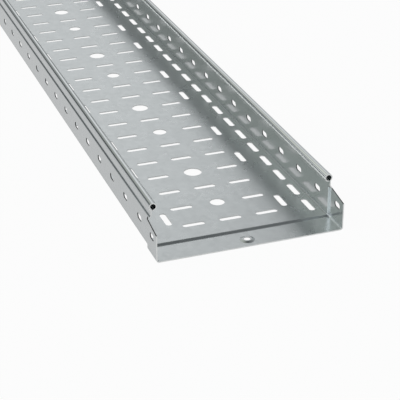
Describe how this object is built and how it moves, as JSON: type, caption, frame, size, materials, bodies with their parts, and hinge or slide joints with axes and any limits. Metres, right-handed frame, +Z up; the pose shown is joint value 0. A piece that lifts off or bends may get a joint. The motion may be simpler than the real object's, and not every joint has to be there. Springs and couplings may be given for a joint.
{
  "type": "perforated cable tray",
  "caption": "Perforated steel cable tray with slotted walls, rolled bead edges and a stepped coupling end.",
  "frame": {"origin": "middle of the underside of the whole piece, level with the underside of the coupling", "axes": "+Y along the tray from the coupling to the plain end, +Z up out of the open side, +X across the tray to the right"},
  "size_m": [0.2056, 2.0334, 0.0536],
  "materials": {
    "galvanised_steel": "continuous galvanised, fairly glossy, with a faint zinc pattern"
  },
  "bodies": {
    "root": {"cable_tray": "galvanised_steel"}
  },
  "joints": []
}
